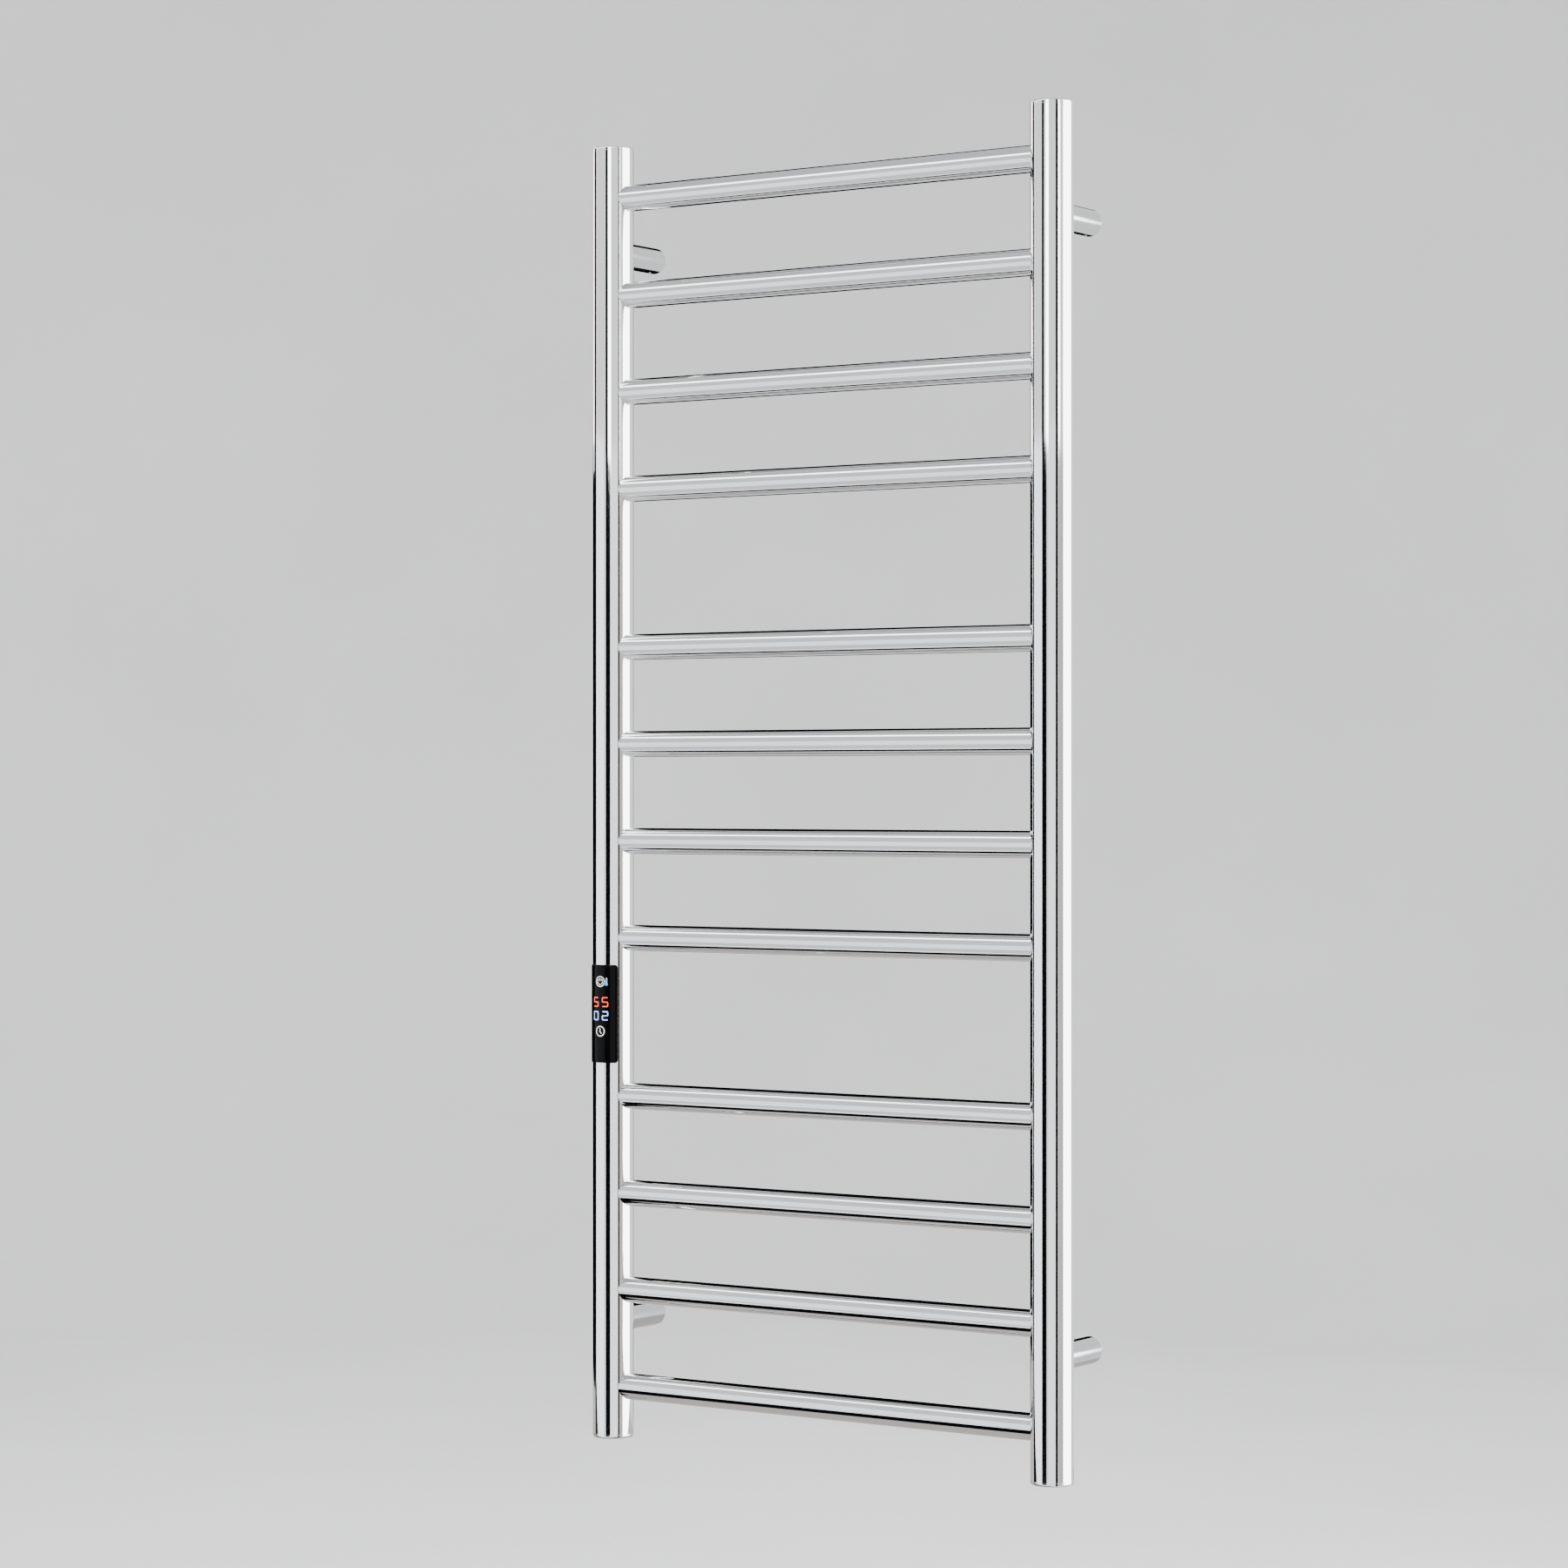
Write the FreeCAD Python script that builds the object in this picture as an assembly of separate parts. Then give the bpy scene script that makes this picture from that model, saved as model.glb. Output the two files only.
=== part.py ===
import FreeCAD, Part
import math
import os

# Electric ladder towel rail, in millimetres.
# Two upright posts carry twelve rungs in three groups of four. Four standoffs on the
# backs of the posts slip over sockets that are screwed to the wall. A touch control is
# set into the front of the left post, and a heating cable runs through every rung.
# Frame: +X is right seen from the front, +Y points at the wall and +Z is up. The origin
# is the centre of the four wall fixings, on the wall's surface.

# ---- overall sizes -------------------------------------------------------------------
OVERALL_HEIGHT = 1200.0
OVERALL_WIDTH = 510.0
POST_AXIS_TO_WALL = 68.0

# ---- posts and their end caps --------------------------------------------------------
POST_DIAMETER = 38.0
POST_WALL = 1.5
CAP_THICKNESS = 3.5
CAP_EDGE_RADIUS = 1.5
CAP_SPIGOT_LENGTH = 8.0
CAP_SPIGOT_WALL = 2.0
CAP_FIT_GAP = 0.05

# ---- rungs ---------------------------------------------------------------------------
BAR_DIAMETER = 24.0
BAR_WALL = 1.2
BAR_GROUPS = 3
BARS_PER_GROUP = 4
BAR_PITCH = 90.0
BAR_END_MARGIN = 48.0
WELD_GAP = 0.03

# ---- wall standoffs, sockets and grub screws -----------------------------------------
STANDOFF_DIAMETER = 24.0
STANDOFF_WALL = 3.0
STANDOFF_FOOT_MARGIN = 109.0
STANDOFF_HEAD_MARGIN = 98.0
STANDOFF_WALL_GAP = 1.0
STANDOFF_EDGE_RADIUS = 0.6
SOCKET_LENGTH = 24.0
SOCKET_RADIAL_GAP = 0.10
SOCKET_END_GAP = 1.0
SOCKET_FLOOR = 8.0
SOCKET_NOSE_CHAMFER = 1.0
WALL_SCREW_HOLE = 5.5
WALL_SCREW_HEAD_HOLE = 11.0
GRUB_DIAMETER = 4.0
GRUB_THREAD_GAP = 0.05
GRUB_TIP_GAP = 0.10
GRUB_FROM_WALL = 11.0
GRUB_KEY_WIDTH = 2.0
GRUB_KEY_DEPTH = 1.5

# ---- touch control in the left post --------------------------------------------------
PANEL_CENTRE_HEIGHT = 394.5
PANEL_HEIGHT = 91.0
PANEL_CORNER_RADIUS = 3.0
COVER_THICKNESS = 1.3
COVER_EDGE_RADIUS = 0.8
COVER_SIDE_OVERLAP = 2.45
GASKET_THICKNESS = 0.3
CURVED_SEAT_GAP = 0.04
GASKET_INSET = 1.0
WINDOW_WIDTH = 24.0
WINDOW_END_OVERLAP = 5.5
WINDOW_CORNER_RADIUS = 3.0
HOUSING_GAP = 0.2
HOUSING_WALL = 1.2
BOARD_THICKNESS = 1.6
BOARD_EDGE_GAP = 0.4
BOSS_HEIGHT = 4.7
BOSS_DIAMETER = 3.8
BOSS_INSET = 2.3
BOARD_SCREW_DIAMETER = 2.0
BOARD_SCREW_HEAD = 3.6
BOARD_SCREW_HEAD_HEIGHT = 1.2
SCREW_GAP = 0.05
DISPLAY_WIDTH = 16.0
DISPLAY_HEIGHT = 25.0
DISPLAY_THICKNESS = 5.0
DISPLAY_RISE = 4.5
POWER_KEY_RISE = 30.0
TIMER_KEY_DROP = 16.0
PAD_DIAMETER = 8.0
RELAY_WIDTH = 15.0
RELAY_HEIGHT = 22.0
RELAY_TOP_RISE = 22.0
REAR_PART_GAP = 0.3
TERMINAL_SIDE_GAP = 1.2
TERMINAL_HEIGHT = 11.0
TERMINAL_BASE_DROP = 31.0
TERMINAL_POLES = 4
TERMINAL_HOLE = 3.0
SENSOR_DIAMETER = 3.0
SENSOR_LENGTH = 10.0
SENSOR_RISE = 9.0
SENSOR_WALL_GAP = 0.1
SENSOR_LEAD_DIAMETER = 1.2
SENSOR_LEAD_DROP = 2.0

# ---- heating cable and inner leads ---------------------------------------------------
CABLE_DIAMETER = 5.0
CABLE_HOLE = 12.0
CABLE_SEAT_GAP = 0.1
CABLE_TO_OUTSIDE = 8.0
CABLE_BEND_MARGIN = 0.5
CABLE_TAIL = 6.0
CABLE_HOUSING_GAP = 2.0
SPLICE_DIAMETER = 7.0
SPLICE_LENGTH = 22.0
LEAD_DIAMETER = 2.6
LEAD_BOSS_GAP = 0.2
LEAD_STRAIGHT = 8.0
LEAD_SHIFT_LENGTH = 16.0
LEAD_HOLE_GAP = 0.2
FUSE_DIAMETER = 5.0
FUSE_LENGTH = 16.0
FUSE_RISE = 24.0

# ---- earth bond in the lower left cap ------------------------------------------------
EARTH_BOSS_DIAMETER = 8.0
EARTH_BOSS_HEIGHT = 9.0
EARTH_BOSS_OFFSET = 8.0
EARTH_SCREW_DIAMETER = 4.0
EARTH_SCREW_HEAD = 7.0
EARTH_SCREW_HEAD_HEIGHT = 2.6
EARTH_SCREW_LENGTH = 7.0
EARTH_TAG_DIAMETER = 7.6
EARTH_TAG_THICKNESS = 0.8
EARTH_BARREL_DIAMETER = 3.6
EARTH_BARREL_LENGTH = 6.0
EARTH_BARREL_DEPTH = 4.0

# ---- supply cable gland --------------------------------------------------------------
GLAND_HEIGHT = 83.5
GLAND_BORE = 6.5
GLAND_SPIGOT = 9.6
GLAND_FLANGE = 13.0
GLAND_FLANGE_THICKNESS = 2.2
GLAND_SEAL_THICKNESS = 1.0
GLAND_INSIDE_LENGTH = 6.0
GLAND_HOLE_GAP = 0.1
GLAND_NUT_WIDTH = 12.0
GLAND_NUT_THICKNESS = 3.0

# ---- places that follow from the sizes above -----------------------------------------
V = FreeCAD.Vector
X_AXIS = V(1, 0, 0)
Y_AXIS = V(0, 1, 0)
Z_AXIS = V(0, 0, 1)
LEFT = -1
RIGHT = 1

post_r = POST_DIAMETER / 2
post_bore_r = post_r - POST_WALL
post_x = (OVERALL_WIDTH - POST_DIAMETER) / 2
post_y = -POST_AXIS_TO_WALL
bar_r = BAR_DIAMETER / 2
standoff_r = STANDOFF_DIAMETER / 2
socket_bore_r = standoff_r - STANDOFF_WALL
socket_r = socket_bore_r - SOCKET_RADIAL_GAP

standoff_spacing = OVERALL_HEIGHT - STANDOFF_FOOT_MARGIN - STANDOFF_HEAD_MARGIN
foot_z = -STANDOFF_FOOT_MARGIN - standoff_spacing / 2
head_z = foot_z + OVERALL_HEIGHT
standoff_rows = {"upper": standoff_spacing / 2, "lower": -standoff_spacing / 2}
sides = {"left": LEFT, "right": RIGHT}

bars_span = OVERALL_HEIGHT - 2 * BAR_END_MARGIN
group_span = (BARS_PER_GROUP - 1) * BAR_PITCH
group_gap = (bars_span - BAR_GROUPS * group_span) / (BAR_GROUPS - 1)
bar_heights = [
    head_z - BAR_END_MARGIN - group * (group_span + group_gap) - row * BAR_PITCH
    for group in range(BAR_GROUPS)
    for row in range(BARS_PER_GROUP)
]

cable_r = CABLE_DIAMETER / 2
lead_r = LEAD_DIAMETER / 2
cable_drop = CABLE_HOLE / 2 - cable_r - CABLE_SEAT_GAP
cable_turn_x = post_x + CABLE_TO_OUTSIDE
cable_bend = post_bore_r - CABLE_BEND_MARGIN + CABLE_TO_OUTSIDE

panel_x = -post_x
panel_z = foot_z + PANEL_CENTRE_HEIGHT
window_height = PANEL_HEIGHT - 2 * WINDOW_END_OVERLAP
housing_back_y = post_y - cable_r - CABLE_HOUSING_GAP
housing_floor_y = housing_back_y - HOUSING_WALL
board_back_y = housing_floor_y - BOSS_HEIGHT
board_front_y = board_back_y - BOARD_THICKNESS
housing_half_x = WINDOW_WIDTH / 2 - HOUSING_GAP
housing_half_z = window_height / 2 - HOUSING_GAP
board_half_x = housing_half_x - HOUSING_WALL - BOARD_EDGE_GAP
board_half_z = housing_half_z - HOUSING_WALL - BOARD_EDGE_GAP
gasket_r = post_r + GASKET_THICKNESS
cover_r = gasket_r + COVER_THICKNESS
cover_half_angle = math.degrees(math.asin((WINDOW_WIDTH / 2 + COVER_SIDE_OVERLAP) / post_r))
rear_part_y = housing_floor_y - REAR_PART_GAP
lead_y = (housing_floor_y + board_back_y) / 2
lead_offset = board_half_x - BOSS_INSET - BOSS_DIAMETER / 2 - LEAD_BOSS_GAP - lead_r
heat_lead_x = panel_x - lead_offset
earth_lead_x = panel_x + lead_offset
sensor_y = post_y - post_bore_r + SENSOR_WALL_GAP + SENSOR_DIAMETER / 2
sensor_base_z = panel_z + housing_half_z + SENSOR_RISE
gland_z = foot_z + GLAND_HEIGHT


# ---- small builders ------------------------------------------------------------------
def rod(radius, start, axis, length):
    return Part.makeCylinder(radius, length, start, axis)


def pipe(outer, inner, start, axis, length):
    return rod(outer, start, axis, length).cut(rod(inner, start, axis, length))


def block(low, high):
    size = high - low
    return Part.makeBox(size.x, size.y, size.z, low)


def edges_along(shape, axis):
    """Straight edges of the shape that lie parallel to the axis."""
    found = []
    for edge in shape.Edges:
        if isinstance(edge.Curve, Part.Line):
            if abs(abs(edge.Curve.Direction.dot(axis)) - 1) < 1e-6:
                found.append(edge)
    return found


def rounded_block(low, high, radius, axis):
    body = block(low, high)
    return body.makeFillet(radius, edges_along(body, axis))


def hexagon_rod(width, start, axis, length):
    """Hexagonal prism, measured across its flats."""
    turn = FreeCAD.Rotation(Z_AXIS, axis)
    reach = width / math.sqrt(3)
    corners = []
    for step in range(7):
        angle = math.radians(60 * step)
        corners.append(start + turn.multVec(V(reach * math.cos(angle), reach * math.sin(angle), 0)))
    return Part.Face(Part.makePolygon(corners)).extrude(axis * length)


def post_axis_rod(x, radius, low_z, high_z):
    return rod(radius, V(x, post_y, low_z), Z_AXIS, high_z - low_z)


def front_shell(inner, outer, half_angle, half_height):
    """Curved plate that hugs the front of the left post about the control's centre."""
    corners = [
        V(panel_x, post_y - inner, panel_z - half_height),
        V(panel_x, post_y - outer, panel_z - half_height),
        V(panel_x, post_y - outer, panel_z + half_height),
        V(panel_x, post_y - inner, panel_z + half_height),
    ]
    section = Part.Face(Part.makePolygon(corners + corners[:1]))
    axis_point = V(panel_x, post_y, panel_z)
    section.rotate(axis_point, Z_AXIS, -half_angle)
    return section.revolve(axis_point, Z_AXIS, 2 * half_angle)


def rounded_path(points, radius):
    """Wire of straight runs joined by tangent arcs of one radius, less where runs are short."""
    edges = []
    start = points[0]
    for before, corner, after in zip(points, points[1:], points[2:]):
        back = (before - corner).normalize()
        ahead = (after - corner).normalize()
        half_turn = (math.pi - back.getAngle(ahead)) / 2
        room_back = before.distanceToPoint(corner) * (0.95 if before == points[0] else 0.49)
        room_ahead = after.distanceToPoint(corner) * (0.95 if after == points[-1] else 0.49)
        bend = min(radius, room_back / math.tan(half_turn), room_ahead / math.tan(half_turn))
        reach = bend * math.tan(half_turn)
        arc_start = corner + back * reach
        arc_end = corner + ahead * reach
        inward = (back + ahead).normalize()
        arc_middle = corner + inward * (bend / math.cos(half_turn) - bend)
        edges.append(Part.LineSegment(start, arc_start).toShape())
        edges.append(Part.Arc(arc_start, arc_middle, arc_end).toShape())
        start = arc_end
    edges.append(Part.LineSegment(start, points[-1]).toShape())
    return Part.Wire(edges)


def round_sweep(path, radius):
    first = path.Edges[0]
    heading = first.tangentAt(first.FirstParameter)
    ring = Part.Wire(Part.makeCircle(radius, first.valueAt(first.FirstParameter), heading))
    return path.makePipeShell([ring], True, False)


def report_sweep(name, shape, path, radius):
    """Prints a swept cord's length and bends, and how close its volume is to the ideal."""
    bends = sorted({round(edge.Curve.Radius, 2) for edge in path.Edges if hasattr(edge.Curve, "Radius")})
    ideal = math.pi * radius * radius * path.Length
    ratio = shape.Volume / ideal
    print(name, "length", round(path.Length, 1), "bend radii", bends, "volume ratio", round(ratio, 5))


# ---- frame of the rail ---------------------------------------------------------------
def post(side):
    """Upright tube between its caps, with a cable hole behind each rung."""
    x = side * post_x
    low = foot_z + CAP_THICKNESS
    high = head_z - CAP_THICKNESS
    body = pipe(post_r, post_bore_r, V(x, post_y, low), Z_AXIS, high - low)
    for height in bar_heights:
        body = body.cut(rod(CABLE_HOLE / 2, V(x, post_y, height), X_AXIS * -side, post_r + 1))
    return body


def left_post():
    body = post(LEFT).cut(control_window())
    gland_hole_r = GLAND_SPIGOT / 2 + GLAND_HOLE_GAP
    return body.cut(rod(gland_hole_r, V(panel_x, post_y, gland_z), Y_AXIS, post_r + 1))


def control_window():
    half_x = WINDOW_WIDTH / 2
    half_z = window_height / 2
    low = V(panel_x - half_x, post_y - post_r - 1, panel_z - half_z)
    high = V(panel_x + half_x, post_y, panel_z + half_z)
    return rounded_block(low, high, WINDOW_CORNER_RADIUS, Y_AXIS)


def end_cap(side, end):
    """Closing disc of a post, with its edge rounded and a ring spigot inside the tube."""
    x = side * post_x
    outer_z = head_z if end > 0 else foot_z
    inward = Z_AXIS * -end
    disc = rod(post_r, V(x, post_y, outer_z), inward, CAP_THICKNESS)
    rim = [edge for edge in disc.Edges if abs(edge.CenterOfMass.z - outer_z) < 1e-6]
    disc = disc.makeFillet(CAP_EDGE_RADIUS, rim)
    spigot_r = post_bore_r - CAP_FIT_GAP
    spigot_start = V(x, post_y, outer_z - end * CAP_THICKNESS)
    spigot = pipe(spigot_r, spigot_r - CAP_SPIGOT_WALL, spigot_start, inward, CAP_SPIGOT_LENGTH)
    return disc.fuse(spigot).removeSplitter()


def earthed_cap():
    """Lower left cap, with the tapped boss that takes the earth screw."""
    boss = rod(EARTH_BOSS_DIAMETER / 2, earth_point(0), Z_AXIS, EARTH_BOSS_HEIGHT)
    tapping = rod(EARTH_SCREW_DIAMETER / 2, earth_point(1), Z_AXIS, EARTH_BOSS_HEIGHT)
    return end_cap(LEFT, -1).fuse(boss).cut(tapping).removeSplitter()


def earth_point(rise):
    """Point on the earth screw's axis, a given rise above the cap's inner face."""
    x = earth_lead_x - EARTH_BOSS_OFFSET
    return V(x, lead_y, foot_z + CAP_THICKNESS + rise)


def bar(height):
    """Rung tube with both ends coped to the posts."""
    start = V(-post_x, post_y, height)
    body = pipe(bar_r, bar_r - BAR_WALL, start, X_AXIS, 2 * post_x)
    for side in sides.values():
        cope = post_axis_rod(side * post_x, post_r + WELD_GAP, height - BAR_DIAMETER, height + BAR_DIAMETER)
        body = body.cut(cope)
    return body


# ---- wall fixing ---------------------------------------------------------------------
def standoff(side, height):
    """Coped arm on the back of a post, bored at the wall end for its socket."""
    x = side * post_x
    wall_end_y = -STANDOFF_WALL_GAP
    bore_depth = SOCKET_LENGTH + SOCKET_END_GAP - STANDOFF_WALL_GAP
    body = rod(standoff_r, V(x, post_y, height), Y_AXIS, wall_end_y - post_y)
    rim = [edge for edge in body.Edges if abs(edge.CenterOfMass.y - wall_end_y) < 1e-6]
    body = body.makeFillet(STANDOFF_EDGE_RADIUS, rim)
    cope = post_axis_rod(x, post_r + WELD_GAP, height - STANDOFF_DIAMETER, height + STANDOFF_DIAMETER)
    body = body.cut(cope)
    body = body.cut(rod(socket_bore_r, V(x, wall_end_y, height), Y_AXIS * -1, bore_depth))
    grub_hole_r = GRUB_DIAMETER / 2 + GRUB_THREAD_GAP
    return body.cut(rod(grub_hole_r, V(x, -GRUB_FROM_WALL, height), Z_AXIS * -1, standoff_r + 1))


def wall_socket(side, height):
    """Peg that a wall screw holds and a standoff slips over."""
    x = side * post_x
    nose_y = -SOCKET_LENGTH
    body = rod(socket_r, V(x, 0, height), Y_AXIS * -1, SOCKET_LENGTH)
    nose = [edge for edge in body.Edges if abs(edge.CenterOfMass.y - nose_y) < 1e-6]
    body = body.makeChamfer(SOCKET_NOSE_CHAMFER, nose)
    body = body.cut(rod(WALL_SCREW_HOLE / 2, V(x, 0, height), Y_AXIS * -1, SOCKET_LENGTH))
    head_hole = rod(WALL_SCREW_HEAD_HOLE / 2, V(x, -SOCKET_FLOOR, height), Y_AXIS * -1, SOCKET_LENGTH)
    return body.cut(head_hole)


def grub_screw(side, height):
    """Hexagon key screw in the underside of a standoff."""
    tip = V(side * post_x, -GRUB_FROM_WALL, height - socket_r - GRUB_TIP_GAP)
    length = standoff_r - socket_r - GRUB_TIP_GAP
    key_start = tip - Z_AXIS * (length - GRUB_KEY_DEPTH)
    body = rod(GRUB_DIAMETER / 2, tip, Z_AXIS * -1, length)
    return body.cut(hexagon_rod(GRUB_KEY_WIDTH, key_start, Z_AXIS * -1, GRUB_KEY_DEPTH + 1))


def grub_screws():
    screws = [grub_screw(side, height) for side in sides.values() for height in standoff_rows.values()]
    return Part.makeCompound(screws)


# ---- touch control -------------------------------------------------------------------
def control_cover():
    """Curved glass-like front with rounded corners and a softened edge."""
    plate = front_shell(gasket_r + CURVED_SEAT_GAP, cover_r, cover_half_angle, PANEL_HEIGHT / 2)
    corners = []
    for edge in plate.Edges:
        if isinstance(edge.Curve, Part.Line) and edge.Length < COVER_THICKNESS + 0.01:
            corners.append(edge)
    plate = plate.makeFillet(PANEL_CORNER_RADIUS, corners)
    rim = []
    for edge in plate.Edges:
        middle = edge.valueAt((edge.FirstParameter + edge.LastParameter) / 2)
        if math.hypot(middle.x - panel_x, middle.y - post_y) > cover_r - 0.01:
            rim.append(edge)
    return plate.makeFillet(COVER_EDGE_RADIUS, rim)


def cover_gasket():
    """Adhesive foam ring between the cover and the post."""
    inset_angle = math.degrees(GASKET_INSET / post_r)
    half_height = PANEL_HEIGHT / 2 - GASKET_INSET
    ring = front_shell(post_r + CURVED_SEAT_GAP, gasket_r, cover_half_angle - inset_angle, half_height)
    return ring.cut(control_window())


def control_housing():
    """Tray that sits in the post's window and carries the board."""
    front_y = post_y - post_r - 1
    low = V(panel_x - housing_half_x, front_y, panel_z - housing_half_z)
    high = V(panel_x + housing_half_x, housing_back_y, panel_z + housing_half_z)
    body = rounded_block(low, high, WINDOW_CORNER_RADIUS - HOUSING_GAP, Y_AXIS)
    body = body.common(post_axis_rod(panel_x, post_r, low.z - 1, high.z + 1))
    wall = V(HOUSING_WALL, 0, HOUSING_WALL)
    hollow_high = V(high.x, housing_floor_y, high.z) - wall
    body = body.cut(block(low + wall, hollow_high))
    for place in board_screw_places():
        boss = rod(BOSS_DIAMETER / 2, V(place.x, housing_floor_y, place.z), Y_AXIS * -1, BOSS_HEIGHT)
        body = body.fuse(boss)
    for place in board_screw_places():
        hole_r = BOARD_SCREW_DIAMETER / 2 + SCREW_GAP
        body = body.cut(rod(hole_r, V(place.x, housing_floor_y, place.z), Y_AXIS * -1, BOSS_HEIGHT))
    lead_hole_r = lead_r + LEAD_HOLE_GAP
    sensor_hole_r = SENSOR_LEAD_DIAMETER / 2 + LEAD_HOLE_GAP
    body = body.cut(rod(lead_hole_r, V(heat_lead_x, lead_y, low.z - 1), Z_AXIS, 2 * housing_half_z + 2))
    body = body.cut(rod(lead_hole_r, V(earth_lead_x, lead_y, low.z - 1), Z_AXIS, HOUSING_WALL + 2))
    body = body.cut(rod(sensor_hole_r, V(panel_x, sensor_y, panel_z), Z_AXIS, housing_half_z + 1))
    return body


def board_screw_places():
    """Board corners where the screws go, on the plane of the post's axis."""
    reach_x = board_half_x - BOSS_INSET
    reach_z = board_half_z - BOSS_INSET
    return [V(panel_x + sx * reach_x, post_y, panel_z + sz * reach_z) for sx in (-1, 1) for sz in (-1, 1)]


def circuit_board():
    low = V(panel_x - board_half_x, board_front_y, panel_z - board_half_z)
    high = V(panel_x + board_half_x, board_back_y, panel_z + board_half_z)
    body = rounded_block(low, high, 1.0, Y_AXIS)
    for place in board_screw_places():
        hole_r = BOARD_SCREW_DIAMETER / 2 + SCREW_GAP
        body = body.cut(rod(hole_r, V(place.x, board_back_y, place.z), Y_AXIS * -1, BOARD_THICKNESS))
    return body


def board_screws():
    screws = []
    for place in board_screw_places():
        front = V(place.x, board_front_y, place.z)
        head = rod(BOARD_SCREW_HEAD / 2, front, Y_AXIS * -1, BOARD_SCREW_HEAD_HEIGHT)
        shank = rod(BOARD_SCREW_DIAMETER / 2, front, Y_AXIS, BOARD_THICKNESS + BOSS_HEIGHT - SCREW_GAP)
        slot_low = front + V(-BOARD_SCREW_HEAD, -BOARD_SCREW_HEAD_HEIGHT, -0.25)
        slot = block(slot_low, slot_low + V(2 * BOARD_SCREW_HEAD, 0.5, 0.5))
        screws.append(head.fuse(shank).cut(slot).removeSplitter())
    return Part.makeCompound(screws)


def display_module():
    """Two rows of two digits in one block on the board's front."""
    centre_z = panel_z + DISPLAY_RISE
    low = V(panel_x - DISPLAY_WIDTH / 2, board_front_y - DISPLAY_THICKNESS, centre_z - DISPLAY_HEIGHT / 2)
    high = V(panel_x + DISPLAY_WIDTH / 2, board_front_y, centre_z + DISPLAY_HEIGHT / 2)
    return rounded_block(low, high, 0.6, Y_AXIS)


def touch_pads():
    """Conductive foam plugs from the board to the cover, behind the two keys."""
    pads = []
    for rise in (POWER_KEY_RISE, -TIMER_KEY_DROP):
        start = V(panel_x, board_front_y, panel_z + rise)
        pad = rod(PAD_DIAMETER / 2, start, Y_AXIS * -1, cover_r)
        inside = post_axis_rod(panel_x, gasket_r, start.z - PAD_DIAMETER, start.z + PAD_DIAMETER)
        pads.append(pad.common(inside))
    return Part.makeCompound(pads)


def power_relay():
    top_z = panel_z + RELAY_TOP_RISE
    low = V(panel_x - RELAY_WIDTH / 2, board_back_y, top_z - RELAY_HEIGHT)
    high = V(panel_x + RELAY_WIDTH / 2, rear_part_y, top_z)
    return rounded_block(low, high, 0.5, Y_AXIS)


def terminal_block():
    """Row of wire clamps behind the board, with their mouths facing down."""
    base_z = panel_z - TERMINAL_BASE_DROP
    half_width = board_half_x - TERMINAL_SIDE_GAP
    low = V(panel_x - half_width, board_back_y, base_z)
    high = V(panel_x + half_width, rear_part_y, base_z + TERMINAL_HEIGHT)
    body = rounded_block(low, high, 0.4, Y_AXIS)
    pitch = 2 * half_width / TERMINAL_POLES
    for pole in range(1, TERMINAL_POLES - 1):
        x = low.x + pitch * (pole + 0.5)
        body = body.cut(rod(TERMINAL_HOLE / 2, V(x, lead_y, base_z), Z_AXIS, TERMINAL_HEIGHT / 2))
    return body


def temperature_sensor():
    """Bead held against the inside of the post, above the control."""
    body = rod(SENSOR_DIAMETER / 2, V(panel_x, sensor_y, sensor_base_z), Z_AXIS, SENSOR_LENGTH)
    ends = [edge for edge in body.Edges if isinstance(edge.Curve, Part.Circle)]
    return body.makeFillet(0.5, ends)


def sensor_lead():
    turn_z = panel_z + board_half_z - SENSOR_LEAD_DROP
    points = [
        V(panel_x, sensor_y, sensor_base_z),
        V(panel_x, sensor_y, turn_z),
        V(panel_x, board_front_y, turn_z),
    ]
    path = rounded_path(points, 3 * SENSOR_LEAD_DIAMETER)
    body = round_sweep(path, SENSOR_LEAD_DIAMETER / 2)
    report_sweep("sensor_lead", body, path, SENSOR_LEAD_DIAMETER / 2)
    return body


# ---- heating circuit -----------------------------------------------------------------
def cable_points():
    """Serpentine through every rung, starting and ending in the left post."""
    first_z = bar_heights[0] - cable_drop
    last_z = bar_heights[-1] - cable_drop
    points = [V(-cable_turn_x, post_y, first_z - cable_bend - CABLE_TAIL)]
    side = LEFT
    for height in bar_heights:
        z = height - cable_drop
        points.append(V(side * cable_turn_x, post_y, z))
        side = -side
        points.append(V(side * cable_turn_x, post_y, z))
    points.append(V(-cable_turn_x, post_y, last_z + cable_bend + CABLE_TAIL))
    return points


def heating_cable():
    path = rounded_path(cable_points(), cable_bend)
    body = round_sweep(path, cable_r)
    report_sweep("heating_cable", body, path, cable_r)
    return body


def splice(cable_end, direction):
    """Sealed sleeve that joins the heating cable to a cold lead."""
    body = rod(SPLICE_DIAMETER / 2, cable_end, direction, SPLICE_LENGTH)
    ends = [edge for edge in body.Edges if isinstance(edge.Curve, Part.Circle)]
    return body.makeFillet(0.8, ends)


def cold_lead(name, cable_end, direction, last_z):
    """Lead from a splice to the control, past the cable's turns in the post."""
    start = cable_end + direction * SPLICE_LENGTH
    shift_start = start + direction * LEAD_STRAIGHT
    shift_end_z = shift_start.z + direction.z * LEAD_SHIFT_LENGTH
    points = [
        start,
        shift_start,
        V(heat_lead_x, lead_y, shift_end_z),
        V(heat_lead_x, lead_y, last_z),
    ]
    path = rounded_path(points, 5 * LEAD_DIAMETER)
    body = round_sweep(path, lead_r)
    report_sweep(name, body, path, lead_r)
    return body


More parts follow.
